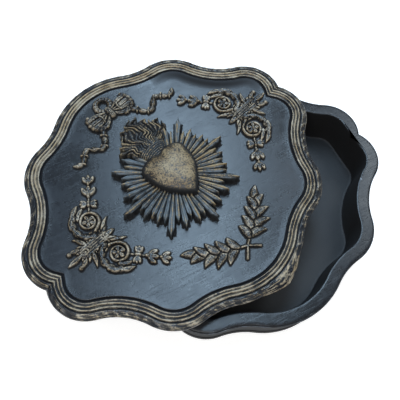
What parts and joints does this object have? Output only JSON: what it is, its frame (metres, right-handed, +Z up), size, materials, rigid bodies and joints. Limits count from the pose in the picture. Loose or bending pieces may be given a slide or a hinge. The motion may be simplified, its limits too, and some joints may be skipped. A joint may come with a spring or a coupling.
{
  "type": "ex-voto box",
  "caption": "Scalloped keepsake box with a loose lid, carrying a sacred heart with rays, a ribbon bow, scroll corners and laurel in relief.",
  "frame": {"origin": "centre of the box's underside", "axes": "+Z up out of the box's opening and through the lid; +X along the box's longer way, notch to notch, towards the end that the askew lid leaves open; +Y towards the bow end of the lid"},
  "size_m": [0.2592, 0.2212, 0.0634],
  "materials": {
    "black_resin": "satin, black cast resin",
    "black_resin_gilt_edge": "satin, black cast resin with gilt rubbed on its edge ridges",
    "black_resin_dry_gilt": "satin, black cast resin with pale gilt dry-brushed on its raised parts",
    "black_resin_gilt_heart": "satin, cast resin with mottled antique gilt"
  },
  "bodies": {
    "root": {"box": "black_resin", "lid": "black_resin_gilt_edge", "sacred_heart": "black_resin_gilt_heart", "ribbon_bow": "black_resin_dry_gilt", "laurel_spray": "black_resin_dry_gilt", "scroll_corner_left": "black_resin_dry_gilt", "scroll_corner_right": "black_resin_dry_gilt"}
  },
  "joints": []
}
